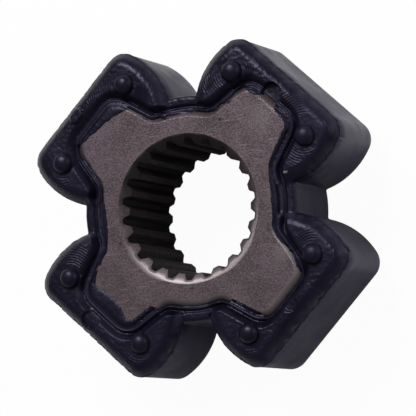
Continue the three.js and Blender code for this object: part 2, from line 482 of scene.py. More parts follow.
def steel_material(sizes):
    """Attributes: wear_and_highlight is bright worn metal with a painted highlight on its lower side,
    depth the painted shade of the spline walls, mouth the front cone, painted in shade on its upper side.
    """
    material, w, place, shader = new_material("hub_steel")
    fine = w.noise(place, 3900.0, 1.0, 0.5)
    base, grain = sintered_colour(w, place, fine, sizes)
    split = w.add("ShaderNodeSeparateXYZ", Vector=place)
    lower_side = w.math("ADD", w.math("MULTIPLY", split.outputs[0], 22.0),
                        w.math("MULTIPLY", split.outputs[1], -78.0))
    # Bright worn edges with a painted highlight: full on the lower side, faint elsewhere.
    worn_and_lit = w.math("MULTIPLY", attribute(w, "wear_and_highlight"), w.between(lower_side, 0.1, 0.95, 0.06, 1.0))
    base = w.blend(worn_and_lit, base, colour(sizes.bright_steel_colour))
    # Painted shade down the spline walls, carried by the depth attribute.
    base = w.blend(attribute(w, "depth"), base, colour(sizes.bore_shade_colour))
    # Painted shade on the upper side of the mouth's cone.
    shaded = w.math("MULTIPLY", attribute(w, "mouth"), w.between(lower_side, -0.1, -0.7, 0.0, 0.9))
    base = w.blend(shaded, base, colour(sizes.bore_shade_colour))
    w.put(shader, "Base Color", base)
    shader.inputs["Metallic"].default_value = 0.75
    w.put(shader, "Roughness", w.math("SUBTRACT", w.between(fine, 0.3, 0.7, 0.46, 0.66),
                                      w.math("MULTIPLY", worn_and_lit, 0.14)))
    bump = w.add("ShaderNodeBump", Height=grain, Strength=0.6, Distance=0.00009)
    w.put(shader, "Normal", bump.outputs[0])
    return material


def ripple_height(w, place, sizes):
    """Fine rings round each nub: strong in the marked patches, faint in a few others."""
    near = None
    split = w.add("ShaderNodeSeparateXYZ", Vector=place)
    for arm in range(LOBES):
        for side in (-1, 1):
            at = polar(sizes.nub_reach, 45 + 90 * arm + side * sizes.nub_half_angle) * MM
            dx = w.math("SUBTRACT", split.outputs[0], at[0])
            dy = w.math("SUBTRACT", split.outputs[1], at[1])
            squares = w.math("ADD", w.math("MULTIPLY", dx, dx), w.math("MULTIPLY", dy, dy))
            away = w.math("SQRT", squares)
            near = away if near is None else w.math("MINIMUM", near, away)
    wave = w.math("SINE", w.math("MULTIPLY", near, 2 * math.pi / (sizes.ripple_pitch * MM)))
    inside = w.between(near, 0.0021, 0.0026)
    faint = w.between(w.noise(place, 190.0, 1.0), 0.5, 0.62, 0.0, 0.25)
    faint = w.math("MULTIPLY", faint, w.between(near, 0.006, 0.0045))
    share = w.math("MAXIMUM", attribute(w, "ripple"), faint)
    return w.math("MULTIPLY", w.math("MULTIPLY", wave, inside), share)


def rubber_material(sizes):
    """Attributes: wall is the smooth sides, painted lighter than the front as a painted sheen;
    painted_highlight is the painted highlight on the rounded shoulders and the bead; dust the pale dirt.
    """
    material, w, place, shader = new_material("cross_rubber")
    grain = use_group(w, once("surface_grain", grain_group), Vector=place, Fine_Scale=1500.0,
                      Broad_Scale=150.0, Broad_Share=0.5)
    specks = use_group(w, once("specks", speck_group), Vector=place, Scale=420.0, Sparseness=0.95,
                       Size=0.1)
    wall = attribute(w, "wall")
    rubber = sizes.rubber_colour
    cloud = grain.outputs["Cloud"]
    base = w.blend(w.between(cloud, 0.3, 0.7), colour(rubber, 0.7), colour(rubber, 1.35))
    # The smooth sides are painted lighter and bluer than the front, a painted sheen for the light they
    # catch.
    base = w.blend(wall, base, colour(sizes.lit_wall_colour))
    # Painted highlight on the rounded shoulders and on the bead round the hub.
    base = w.blend(attribute(w, "painted_highlight"), base, colour(sizes.highlight_colour))
    base = w.blend(w.math("MULTIPLY", specks.outputs["Mask"], 0.5), base, colour((0.12, 0.11, 0.12)))
    base = w.blend(attribute(w, "dust"), base, colour((0.3, 0.28, 0.27)))
    w.put(shader, "Base Color", base)
    w.put(shader, "Roughness", w.between(cloud, 0.3, 0.7, 0.28, 0.48))
    shader.inputs["Specular IOR Level"].default_value = sizes.rubber_gloss
    shader.inputs["Specular Tint"].default_value = (0.76, 0.71, 1.0, 1.0)
    front = w.math("SUBTRACT", 1.0, wall)
    rings = w.math("MULTIPLY", ripple_height(w, place, sizes), w.math("MULTIPLY", front, 0.7))
    grain_share = w.math("ADD", w.math("MULTIPLY", front, 0.7), 0.2)
    height = w.math("ADD", rings, w.math("MULTIPLY", grain.outputs["Height"], grain_share))
    bump = w.add("ShaderNodeBump", Height=height, Strength=0.6, Distance=0.00016)
    w.put(shader, "Normal", bump.outputs[0])
    return material


def ready(name, make, sizes):
    return bpy.data.materials.get(name) or make(sizes)


# Geometry node trees.
def turned_copies_tree(name):
    """Copies of the mesh turned round Z by equal angles, welded where they meet."""
    tree, w, source, sink = new_group(
        name, "GeometryNodeTree",
        [("Geometry", "Geometry", None), ("Copies", "Int", 4),
         ("Weld Distance", "Float", 1e-6), ("Material", "Material", None)],
        [("Geometry", "Geometry")])
    spots = w.add("GeometryNodePoints", Count=source.outputs["Copies"])
    index = w.add("GeometryNodeInputIndex").outputs[0]
    step = w.math("DIVIDE", 2 * math.pi, source.outputs["Copies"])
    turn = w.add("ShaderNodeCombineXYZ", Z=w.math("MULTIPLY", index, step))
    copies = w.add("GeometryNodeInstanceOnPoints", Points=spots.outputs[0],
                   Instance=source.outputs["Geometry"], Rotation=turn.outputs[0])
    welded = w.add("GeometryNodeMergeByDistance", Distance=source.outputs["Weld Distance"])
    real = w.add("GeometryNodeRealizeInstances", Geometry=copies.outputs[0])
    w.put(welded, "Geometry", real.outputs[0])
    finish = w.add("GeometryNodeSetMaterial", Geometry=welded.outputs[0],
                   Material=source.outputs["Material"])
    w.put(sink, "Geometry", finish.outputs[0])
    return tree


def paired_nubs_tree(name):
    """The dome put down in pairs, one pair on each arm, turned and sized a little unevenly."""
    tree, w, source, sink = new_group(
        name, "GeometryNodeTree",
        [("Geometry", "Geometry", None), ("Arms", "Int", 4),
         ("Reach", "Float", 0.0241), ("Half Angle", "Float", 0.365),
         ("Front Height", "Float", 0.0222), ("Unevenness", "Float", 0.04),
         ("Seed", "Int", 5), ("Material", "Material", None)],
        [("Geometry", "Geometry")])
    count = w.math("MULTIPLY", source.outputs["Arms"], 2.0)
    spots = w.add("GeometryNodePoints", Count=count)
    index = w.add("GeometryNodeInputIndex").outputs[0]
    arm = w.math("FLOOR", w.math("DIVIDE", index, 2.0))
    side = w.math("SUBTRACT", w.math("MULTIPLY", w.math("MODULO", index, 2.0), 2.0), 1.0)
    step = w.math("DIVIDE", 2 * math.pi, source.outputs["Arms"])
    angle = w.math("ADD", w.math("MULTIPLY", w.math("ADD", arm, 0.5), step),
                   w.math("MULTIPLY", side, source.outputs["Half Angle"]))
    x = w.math("MULTIPLY", source.outputs["Reach"], w.math("COSINE", angle))
    y = w.math("MULTIPLY", source.outputs["Reach"], w.math("SINE", angle))
    place = w.add("ShaderNodeCombineXYZ", X=x, Y=y, Z=source.outputs["Front Height"])
    moved = w.add("GeometryNodeSetPosition", Geometry=spots.outputs[0], Position=place.outputs[0])
    spread = w.add("FunctionNodeRandomValue", {"data_type": "FLOAT"}, Seed=source.outputs["Seed"])
    uneven = source.outputs["Unevenness"]
    w.put(spread, "2", w.math("SUBTRACT", 1.0, uneven))
    w.put(spread, "3", w.math("ADD", 1.0, uneven))
    turn = w.add("FunctionNodeRandomValue", {"data_type": "FLOAT"}, Seed=source.outputs["Seed"])
    w.put(turn, "3", 6.28)
    spin = w.add("ShaderNodeCombineXYZ", Z=turn.outputs[1])
    copies = w.add("GeometryNodeInstanceOnPoints", Points=moved.outputs[0],
                   Instance=source.outputs["Geometry"], Rotation=spin.outputs[0],
                   Scale=spread.outputs[1])
    real = w.add("GeometryNodeRealizeInstances", Geometry=copies.outputs[0])
    finish = w.add("GeometryNodeSetMaterial", Geometry=real.outputs[0],
                   Material=source.outputs["Material"])
    w.put(sink, "Geometry", finish.outputs[0])
    return tree


def node_copy(thing, name, tree_name, make, material, **inputs):
    tree = once(tree_name, make)
    modifier = thing.modifiers.new(tree_name, "NODES")
    modifier.node_group = tree
    for key, value in inputs.items():
        set_input(modifier, tree, key.replace("_", " "), value)
    set_input(modifier, tree, "Material", material)
    return evaluated_copy(thing, name)


# Hub.
def tooth_columns():
    """Angles across one tooth pitch, from the middle of a space, with the bore's radius."""
    bend = 0.35
    knots = [0, TOOTH_TIP_HALF - bend, TOOTH_TIP_HALF, TOOTH_TIP_HALF + bend,
             TOOTH_ROOT_HALF - bend * 1.6, TOOTH_ROOT_HALF, TOOTH_ROOT_HALF + bend * 1.2, HALF_PITCH]
    radii = [TOOTH_TIP, TOOTH_TIP, TOOTH_TIP + 0.035, TOOTH_TIP + 0.11,
             TOOTH_ROOT - 0.2, TOOTH_ROOT - 0.06, TOOTH_ROOT, TOOTH_ROOT]
    angles = []
    for a, b, n in zip(knots[:-1], knots[1:], (2, 2, 2, 3, 3, 2, 2)):
        angles += list(np.linspace(a, b, n, endpoint=False))
    angles = np.array(angles + [HALF_PITCH])
    radius = np.interp(angles, knots, radii)
    return (np.concatenate([-angles[:0:-1], angles]), np.concatenate([radius[:0:-1], radius]))


class Rows:
    """Rows of points of one sheet of mesh, each with its shares of wear with painted highlight, of
    painted shade, and of the mouth's cone.
    """

    def __init__(self, columns):
        self.columns = columns
        self.points = []
        self.values = {"wear_and_highlight": [], "depth": [], "mouth": []}

    def add(self, points, height, worn_and_lit=0.0, deep=0.0, coned=0.0):
        level = np.broadcast_to(height, self.columns)
        self.points.append(np.column_stack([points, level]))
        for key, value in zip(self.values, (worn_and_lit, deep, coned)):
            self.values[key].append(np.full(self.columns, 1.0) * value)

    def sheet(self, name, flip):
        faces = ring_faces(len(self.points), self.columns, False, False)
        if flip:
            faces = [f[::-1] for f in faces]
        values = {key: np.concatenate(rows) for key, rows in self.values.items()}
        return mesh_object(name, np.concatenate(self.points), faces, values)


def bore_sector():
    """One tooth of the bore with both coned mouths, from mouth circle to mouth circle."""
    angles, radius = tooth_columns()
    rows = Rows(len(angles))
    uniform = np.linspace(-HALF_PITCH, HALF_PITCH, len(angles))
    drop = (MOUTH_RADIUS - radius) * MOUTH_DEPTH / (MOUTH_RADIUS - TOOTH_TIP)
    deep = smooth_step(TOOTH_TIP, TOOTH_ROOT, radius)

    def row(share, height, worn_and_lit, painted_shade, coned=0.0):
        """A row at a share of the way from the mouth circle to the teeth."""
        ring = MOUTH_RADIUS * (1 - share) + radius * share
        a = np.radians(uniform * (1 - share) + angles * share + FIRST_TOOTH)
        rows.add(np.stack([ring * np.cos(a), ring * np.sin(a)], axis=1), height, worn_and_lit, painted_shade, coned)

    top = HUB_LENGTH
    row(0, top, 0.55, 0.0)
    # The mouth's ring carries the most wear, shown bright, with a painted highlight on the lower side.
    row(0.2, top - drop * 0.2, 1.0, 0.0, 1.0)
    row(0.5, top - drop / 2, 0.22, 0.14, 1.0)
    high = top - drop
    row(1, high, 0.06, 0.35, 1.0)
    # The spline walls are painted in shade, darker towards the tooth roots.
    for share in (0.03, 0.08, 0.2, 0.35, 0.5, 0.65, 0.8, 0.92, 0.97):
        row(1, high + (drop - high) * share, 0.0, 0.5 + 0.45 * deep)
    row(1, drop, 0.5, 0.3)
    row(0.5, drop / 2, 0.5, 0.2)
    row(0, 0.0, 0.4, 0.0)
    return rows.sheet("bore_sector", False)


def hub_loop(angles, grow):
    """Points of the hub's outline, grown by grow, at the given angles round the bore."""
    loop = full_turn(hub_half(grow)[0])
    loop = np.concatenate([loop, loop[:1]])
    around = np.degrees(np.unwrap(np.arctan2(loop[:, 1], loop[:, 0])))
    target = (angles - around[0]) % 360 + around[0]
    radius = np.interp(target, around, np.hypot(loop[:, 0], loop[:, 1]))
    a = np.radians(angles)
    return np.stack([radius * np.cos(a), radius * np.sin(a)], axis=1)


def lobed_quarter():
    """A quarter of the hub outside the mouth circles: faces, chamfers and lobed wall."""
    step = 360 / MOUTH_POINTS
    start = FIRST_TOOTH + step * math.floor(-FIRST_TOOTH / step) - step
    angles = start + step * np.arange(MOUTH_POINTS // LOBES + 1)
    rows = Rows(len(angles))
    a = np.radians(angles)
    mouth = np.stack([np.cos(a), np.sin(a)], axis=1) * MOUTH_RADIUS
    face = hub_loop(angles, -HUB_CHAMFER - EDGE_ROUND)
    edge = hub_loop(angles, -HUB_CHAMFER + EDGE_ROUND)
    halfway = hub_loop(angles, -HUB_CHAMFER / 2)
    outer_in, outer = hub_loop(angles, -0.06), hub_loop(angles, 0)
    top, shoulder = HUB_LENGTH, HUB_LENGTH - HUB_CHAMFER
    # The edges' wear shares show as bright worn metal, with a painted highlight on the lower side.
    rows.add(mouth, top, 0.5)
    for share in (0.06, 0.14, 0.25, 0.4, 0.55, 0.7, 0.85, 0.95, 1.0):
        rows.add(mouth + (face - mouth) * share, top, 0.12 if share > 0.97 else 0.0)
    rows.add(edge, top - EDGE_ROUND, 0.2)
    rows.add(halfway, top - HUB_CHAMFER / 2, 0.2)
    rows.add(outer_in, shoulder + 0.06, 0.06)
    rows.add(outer, shoulder - EDGE_ROUND, 0.05)
    for height in (15.0, 8.0, 4.5, 2.6):
        rows.add(outer, height)
    rows.add(outer, HUB_CHAMFER + EDGE_ROUND, 0.2)
    rows.add(outer_in, HUB_CHAMFER - 0.06, 0.3)
    rows.add(halfway, HUB_CHAMFER / 2, 0.25)
    rows.add(edge, EDGE_ROUND, 0.5)
    for share in (1.0, 0.95, 0.7, 0.4, 0.14):
        rows.add(mouth + (face - mouth) * share, 0.0, 0.2 if share > 0.9 else 0.0)
    rows.add(mouth, 0.0, 0.4)
    return rows.sheet("lobed_quarter", True)


def make_hub(sizes):
    steel = ready("hub_steel", steel_material, sizes)
    bore = node_copy(bore_sector(), "bore", "turned_copies", turned_copies_tree, steel,
                     Copies=TOOTH_COUNT, Weld_Distance=WELD_MM * MM)
    lobes = node_copy(lobed_quarter(), "splined_hub_mesh", "turned_copies", turned_copies_tree,
                      steel, Copies=LOBES, Weld_Distance=WELD_MM * MM)
    bpy.ops.object.select_all(action="DESELECT")
    bore.select_set(True)
    lobes.select_set(True)
    bpy.context.view_layer.objects.active = lobes
    bpy.ops.object.join()
    weld = lobes.modifiers.new("weld", "WELD")
    weld.merge_threshold = WELD_MM * MM
    hub = evaluated_copy(lobes, "hub_of_steel")
    shade(hub, 28)
    return hub


# Rubber cross.
# Columns of half an arm. Rings of its front: mm from the hub's outline, mm inside the rim, and
# how many lie between the two.
HALF_COLUMNS = 120
NEAR_HUB = (0.0, 0.1, 0.2, 0.3, 0.42, 0.54, 0.66, 0.78, 0.9, 1.05, 1.2, 1.35, 1.5, 1.7, 1.9)
NEAR_RIM = (0.8, 0.62, 0.45, 0.32, 0.22, 0.13, 0.06, 0.0)
MIDDLE_RINGS = 34
RIM_SLOPE = 1.565
CHIP_DEPTH = 1.1

# The film over the hub's front: its rings as shares of its reach, those that its underside
# has too, the thinnest it gets, how much thicker it may be, and its depth inside the steel.
FILM_SHARES = (1.0, 0.97, 0.86, 0.68, 0.5, 0.34, 0.18)
UNDER_RINGS = (6, 3, 0)
FILM_THIN = 0.11
FILM_SWELL = 0.06
FILM_SUNK = 0.25

# The thin lip of flash at the front edge: shares of its reach, and mm below the rim.
LIP = ((1.0, 0.05), (1.0, 0.14), (-1.6, 0.26), (-1.9, 0.45), (0.0, 0.62))
LIP_REACH = 0.07

# Where the rubber film over the hub's front ends: degrees round the bore, and mm inside the
# hub's outline. At 0 the hub's chamfer is bare.
FILM_EDGE = (
    (11, 1.1), (17, 0.8), (21.5, 1.1), (25.7, 1.2), (29, 1.25), (33, 1.05), (38, 1.15), (41.9, 0.9),
    (43.5, 0.1), (49.6, 0.1), (50.8, 0.65), (53.3, 1.3), (56.1, 1.15), (58, 0.65), (59.6, 0.1),
    (62.4, 0.1), (63.7, 0.75), (64.4, 0.95), (66.0, 0.8), (66.9, 0.25), (67.6, 0.15), (68.8, 0.45),
    (72.7, 0.15), (79.5, 0.15), (90, 0.35), (98.7, 0.4), (100, 0.85), (102.2, 0.75), (103.2, 0.25),
    (105.8, 0.15), (110, 0.6), (114, 0.55), (116.5, 0.5), (117.4, 0.7), (118.2, 1.6), (119.5, 2.3),
    (123, 2.5), (128.7, 2.4), (132.4, 1.9), (136.4, 1.7), (139.7, 1.35), (144.1, 1.15), (145.7, 0.6),
    (147.8, 0.1), (151, 0.1), (152.1, 0.4), (154, 0.9), (156.8, 0.6), (160.5, 0.55), (165.6, 0.75),
    (170.6, 1.2), (176.2, 1.5), (184, 1.65), (191.5, 1.35), (195.8, 0.95), (200.4, 0.8), (205.7, 0.85),
    (207.7, 1.25), (209.5, 1.75), (211, 2.15), (218.2, 2.75), (223.6, 3.0), (229, 2.85), (232, 2.3),
    (236, 1.8), (239.5, 1.5), (241, 1.35), (243.2, 1.3), (247.5, 1.35), (248.6, 0.1), (290.5, 0.1),
    (292, 0.9), (296.3, 1.0), (301, 0.95), (303.6, 0.1), (326, 0.1), (329.6, 0.65), (333.1, 0.3),
    (338.3, 0.7), (342.9, 0.8), (348.7, 1.0), (360, 1.3))

# Marks on the front: reach and degrees of the middle, radius, edge width, height step.
FRONT_MARKS = (
    (24.0, 47.0, 1.85, 0.35, -1.5),
    (25.85, 137.0, 1.35, 0.25, 0.42),
    (25.5, 222.5, 1.6, 0.3, -0.6),
    (24.7, 314.2, 1.25, 0.3, -0.5))


def matched_columns():
    """Points of the hub's outline and of the cross's outline, paired column by column."""
    inner, inner_marks = hub_half(0.0)
    outer, outer_marks = cross_half()
    inner_run, outer_run = lengths_along(inner), lengths_along(outer)
    knots_in = [0, inner_run[inner_marks[0]], inner_run[inner_marks[1]], inner_run[-1]]
    knots_out = [0, outer_run[outer_marks[0]], outer_run[outer_marks[1]], outer_run[-1]]
    at = np.linspace(0, outer_run[-1], HALF_COLUMNS + 1)
    inner_points = points_at(inner, np.interp(at, knots_out, knots_in))
    outer_points = points_at(outer, at)
    return full_turn(inner_points), full_turn(outer_points)


def arm_depth(x, y):
    """How far inside its arm's rim a point lies; negative outside."""
    u, v = folded(x, y)
    round_side = ARM_ROUND - np.hypot(u - ARM_CENTRE, v)
    depth = np.minimum(round_side, ARM_FLAT - u)
    corner_x = ARM_FLAT - ARM_CORNER
    corner_y = math.sqrt((ARM_ROUND - ARM_CORNER) ** 2 - (corner_x - ARM_CENTRE) ** 2)
    side = math.atan2(corner_y, corner_x - ARM_CENTRE)
    turn = np.arctan2(v - corner_y, u - corner_x)
    in_corner = (turn > 0) & (turn < side)
    return np.where(in_corner, ARM_CORNER - np.hypot(u - corner_x, v - corner_y), depth)


def film_reach(inner):
    """How far the film runs inwards from the hub's outline at each column, in mm."""
    around = np.degrees(np.arctan2(inner[:, 1], inner[:, 0])) % 360
    angle, reach = zip(*FILM_EDGE)
    film = np.interp(around, angle, reach, period=360)
    x, y = inner[:, 0], inner[:, 1]
    film = film + np.clip(film - 0.1, 0, 0.3) * (field(x, y, 1.3, 31.0, 2) * 0.5)
    film = np.maximum(film, 0.1)
    return 0.25 * np.roll(film, 1) + 0.5 * film + 0.25 * np.roll(film, -1)


# Front height against mm outside the hub's outline: on the webs, along a lobe and at its end,
# and where the hub's chamfer is bare.
BEAD_STEPS = (0.0, 0.1, 0.22, 0.36, 0.5, 0.66, 0.82, 1.0, 1.2, 1.5, 1.85, 2.3, 4.0)
BEAD_WEB = (21.36, 21.38, 21.3, 21.05, 20.7, 20.4, 20.3, 20.34, 20.6, 21.15, 22.0, 23.2, 28.0)
BEAD_FLANK = (21.3, 21.4, 21.4, 21.22, 20.92, 20.72, 20.78, 21.05, 21.4, 21.8, 22.2, 23.4, 28.0)
BEAD_END = (21.3, 21.45, 21.5, 21.42, 21.25, 21.18, 21.25, 21.45, 21.7, 22.0, 22.4, 23.6, 28.0)
BEAD_BARE = (20.3, 20.75, 21.05, 21.15, 20.95, 20.6, 20.45, 20.55, 20.8, 21.3, 22.0, 23.2, 28.0)


def bead_height(x, y, from_hub, covered):
    along, aside = folded(x, y)
    flank = smooth_step(14.5, 17.0, along)
    end = smooth_step(21.5, 23.3, along) * smooth_step(6.5, 4.0, aside)
    web, side, tip, bare = (np.interp(from_hub, BEAD_STEPS, row)
                            for row in (BEAD_WEB, BEAD_FLANK, BEAD_END, BEAD_BARE))
    film = web + (side - web) * flank
    film = film + (tip - film) * end
    return film + (bare - film) * (1 - covered) * smooth_step(0.9, 0.35, from_hub)


def film_height(inside, edge, covered, uneven):
    """Height of the film's top at mm inside the outline; edge is where the film ends."""
    hub = HUB_LENGTH - np.maximum(HUB_CHAMFER - inside, 0)
    swell = smooth_step(0, 0.6, edge - inside) * (1 + np.clip(uneven, -0.8, 0.8))
    thick = FILM_THIN + FILM_SWELL * swell + 0.5 * smooth_step(0.5, 0.0, inside)
    return hub + thick * covered - 0.16 * (1 - covered)


def film_rings(inner, film, covered):
    """Rings over the hub's front, and the rings of the underside just inside the steel."""
    inside = film * np.array(FILM_SHARES)[:, None]
    normal = outward_normals(inner)
    x = inner[:, 0] - normal[:, 0] * inside
    y = inner[:, 1] - normal[:, 1] * inside
    top = film_height(inside, film, covered, field(x, y, 1.1, 5.0, 2))
    top[0] = top[0] - 0.035 * covered
    under = HUB_LENGTH - np.maximum(HUB_CHAMFER - inside, 0) - FILM_SUNK
    over = [np.column_stack([x[k], y[k], top[k]]) for k in range(len(FILM_SHARES))]
    return over, [np.column_stack([x[k], y[k], under[k]]) for k in UNDER_RINGS]


def front_marks(x, y, height):
    for reach, degrees, radius, edge, step in FRONT_MARKS:
        middle = polar(reach, degrees)
        away = np.hypot(x - middle[0], y - middle[1])
        height = height + step * smooth_step(radius + edge / 2, radius - edge / 2, away)
    return height


def front_height(x, y, from_hub, covered):
    depth = arm_depth(x, y)
    part = np.clip(depth / SHOULDER, 0, 1)
    arms = ARM_RIM + (ARM_FRONT - ARM_RIM) * (1 - (1 - part) ** 2)
    arms = np.where(depth < 0, ARM_RIM + RIM_SLOPE * depth, arms)
    in_web = CROSS_WEB - np.hypot(x, y)
    edge = np.clip(RIM - in_web, 0, RIM)
    web = CROSS_WEB_FRONT - RIM + np.sqrt(RIM**2 - edge**2)
    height = soft_max(arms, web, 0.35)
    height = front_marks(x, y, height)
    around = np.degrees(np.arctan2(y, x)) % 360
    ragged = np.where((around > 200) & (around < 345), 1.0, 0.35)
    chips = np.clip(field(x, y, 0.9, 17.0, 3) - 0.12, 0, 1) * ragged
    at_rim = smooth_step(0.7, 0.0, depth) * smooth_step(-0.2, 0.05, depth)
    height = height - chips * CHIP_DEPTH * at_rim
    return soft_min(height, bead_height(x, y, from_hub, covered), 0.2)


def front_grid(inner, outer):
    """The front's points, ring by ring, from the hub's outline out to the rim."""
    span = outer - inner
    reach = np.linalg.norm(span, axis=1)
    shares = [d / reach for d in NEAR_HUB]
    first, last = NEAR_HUB[-1] / reach, 1 - NEAR_RIM[0] / reach
    shares += [first + (last - first) * k / (MIDDLE_RINGS + 1) for k in range(1, MIDDLE_RINGS + 1)]
    shares += [1 - d / reach for d in NEAR_RIM]
    shares = np.array(shares)
    return inner[:, 0] + shares * span[:, 0], inner[:, 1] + shares * span[:, 1]


def make_rubber(sizes):
    inner, outer = matched_columns()
    x, y = front_grid(inner, outer)
    from_hub = distance_to(hub_half(0.0)[0], *folded(x, y))
    from_hub[0] = 0.0
    film = film_reach(inner)
    covered = smooth_step(0.12, 0.5, film)
    height = front_height(x, y, from_hub, covered)
    uneven = field(x, y, 0.35, 3.0) * 0.08 + field(x, y, 1.6, 9.0, 2) * 0.045
    height = height + uneven * smooth_step(0.0, 0.6, from_hub)

    rings, under = film_rings(inner, film, covered)
    lead = len(rings)
    rings += [np.column_stack([x[k], y[k], height[k]]) for k in range(len(x))]
    front_end = len(rings)
    rings += side_and_rear_rings(inner, outer, height[-1]) + under
    grid = (len(rings), len(inner))

    def on_front(values):
        """Shares for the points of the front, with none anywhere else."""
        shares = np.zeros(grid)
        shares[lead:front_end] = values
        return shares

    wall = np.zeros(grid)
    # The lip's rings keep the darker front colour, a painted shadow along the rim's undercut; the sides
    # below take the wall colour.
    wall[front_end + len(LIP) - 1:] = 1.0
    depth = arm_depth(x, y)
    # The rounded shoulders by the rim and the bead round the hub get a painted highlight.
    shoulder = smooth_step(0.0, 0.35, depth) * smooth_step(1.5, 0.5, depth)
    shoulder = shoulder * np.clip(0.55 + field(x, y, 0.5, 21.0, 2), 0, 1)
    bead = smooth_step(0.5, 0.2, np.abs(from_hub - 0.12))
    values = {"wall": wall, "painted_highlight": on_front(np.maximum(shoulder, bead * 0.7)),
              "dust": on_front(dust_spots(x, y)),
              "ripple": on_front(ripple_share(x, y, from_hub))}
    faces = [f[::-1] for f in ring_faces(*grid, True)]
    cross = mesh_object("rubber_moulding", np.concatenate(rings), faces, values)
    cross.data.materials.append(ready("cross_rubber", rubber_material, sizes))
    shade(cross, 50)
    return cross


# Places on the front with fine mould rings: x, y and radius in mm.
RIPPLE_PATCHES = (
    (-15.2, 19.2, 1.6), (-13.0, 20.8, 1.3), (-7.2, 19.8, 2.0), (20.0, 15.0, 2.2),
    (12.6, 21.6, 1.2), (21.0, -7.2, 1.6), (-20.6, -6.6, 2.2), (-17.6, 15.0, 1.2),
    (5.2, 20.5, 1.5), (7.5, -22.5, 1.2))


def ripple_share(x, y, from_hub):
    total = np.zeros(x.shape)
    for at_x, at_y, radius in RIPPLE_PATCHES:
        away = np.hypot(x - at_x, y - at_y)
        total = np.maximum(total, smooth_step(radius * 1.25, radius * 0.6, away))
    return total * smooth_step(0.8, 1.3, from_hub)


# Pale dirt on the rubber: x, y, half length, half width in mm, direction in degrees, strength.
DUST = (
    (18.1, 4.2, 0.48, 0.17, 5, 0.85), (16.3, 2.7, 0.2, 0.15, 0, 0.6),
    (-20.4, -9.6, 0.35, 0.22, 20, 0.5), (14.1, 18.4, 0.25, 0.15, 30, 0.5),
    (-18.4, -10.3, 0.7, 0.5, 50, 0.25), (-18.7, -15.3, 0.22, 0.16, 0, 0.5))


def dust_spots(x, y):
    total = np.zeros(x.shape)
    for at_x, at_y, long, wide, degrees, strength in DUST:
        a = math.radians(degrees)
        u = ((x - at_x) * math.cos(a) + (y - at_y) * math.sin(a)) / long
        v = ((y - at_y) * math.cos(a) - (x - at_x) * math.sin(a)) / wide
        total = np.maximum(total, strength * smooth_step(1.2, 0.6, np.hypot(u, v)))
    return total


def outward_normals(loop):
    ahead = np.roll(loop, -1, axis=0) - np.roll(loop, 1, axis=0)
    ahead /= np.linalg.norm(ahead, axis=1)[:, None]
    return np.stack([ahead[:, 1], -ahead[:, 0]], axis=1)


def side_and_rear_rings(inner, outer, rim_height):
    """Rings from the front rim down the side, under the rear and up beside the hub."""
    out = outward_normals(outer)
    rings = []

    def ring(loop, height):
        rings.append(np.column_stack([loop, np.broadcast_to(height, len(loop))]))

    radius = np.hypot(outer[:, 0], outer[:, 1])
    in_web = smooth_step(CROSS_WEB + 0.15, CROSS_WEB, radius)
    lip = LIP_REACH * (1 - in_web) * (1 + field(outer[:, 0], outer[:, 1], 0.8, 41.0, 2))
    for grow, below in LIP:
        ring(outer + out * (lip * grow)[:, None], rim_height - below)
    rear = ARM_REAR + (CROSS_WEB_REAR - ARM_REAR) * in_web
    for height in (17.0, 13.0, 9.0, 6.0):
        ring(outer, height)
    for a in (0, 22.5, 45, 67.5, 90):
        inset = RIM * (1 - math.cos(math.radians(a)))
        ring(outer - out * inset, rear + RIM * (1 - math.sin(math.radians(a))))
    base = outer - out * RIM
    for share in (0.25, 0.5, 0.75, 0.9):
        ring(base + (inner - base) * share, rear)
    ring(inner, rear + 0.25)
    for height in (8.0, 13.0, 18.0, 20.0):
        ring(inner, height)
    return rings


def nub_profile(sizes):
    """Radius and height of a nub's rings, from the flare at its foot up to the dome."""
    radius, flare = sizes.nub_radius, 0.18
    rows = [(radius + flare, -0.12), (radius + flare * 0.45, 0.02), (radius + 0.02, 0.16)]
    for a in np.radians(np.linspace(12, 84, 9)):
        rows.append((radius * math.cos(a) ** 0.85, sizes.nub_height * math.sin(a)))
    return rows


def make_nubs(sizes):
    columns = 40
    turn = np.linspace(0, 2 * math.pi, columns, endpoint=False)
    rows = [np.stack([r * np.cos(turn), r * np.sin(turn), np.full(columns, z)], axis=1)
            for r, z in nub_profile(sizes)]
    points = np.concatenate(rows + [[[0, 0, sizes.nub_height], [0, 0, -NUB_FOOT]]])
    top, floor = len(points) - 2, len(points) - 1
    start = top - columns
    faces = ring_faces(len(rows), columns, False)
    faces += [(start + c, start + (c + 1) % columns, top) for c in range(columns)]
    faces += [((c + 1) % columns, c, floor) for c in range(columns)]
    plain = {key: np.zeros(len(points)) for key in ("wall", "painted_highlight", "dust", "ripple")}
    dome = mesh_object("nub_dome", points, faces, plain)
    nubs = node_copy(dome, "moulded_nubs", "paired_nubs", paired_nubs_tree,
                     ready("cross_rubber", rubber_material, sizes), Arms=LOBES,
                     Reach=sizes.nub_reach * MM, Half_Angle=math.radians(sizes.nub_half_angle),
                     Front_Height=ARM_FRONT * MM, Unevenness=0.04, Seed=5)
    shade(nubs, 60)
    return nubs


# Stage.
FOCUS = Vector((0.0, 0.0, 0.020368))
VIEW_RIGHT = Vector((0.9238952, -0.0651406, -0.3770601))
VIEW_UP = Vector((0.0991113, 0.9925127, 0.0713827))
VIEW_BACK = Vector((0.3695871, -0.1033211, 0.9234339))
CAMERA_DISTANCE = 0.5288
CAMERA_LENS = 271.8
SENSOR_WIDTH = 36
AIM_RIGHT, AIM_UP = 0.00306, 0.0001
FLOOR_HALF = 3.0
FLOOR_LEVEL = -0.00005


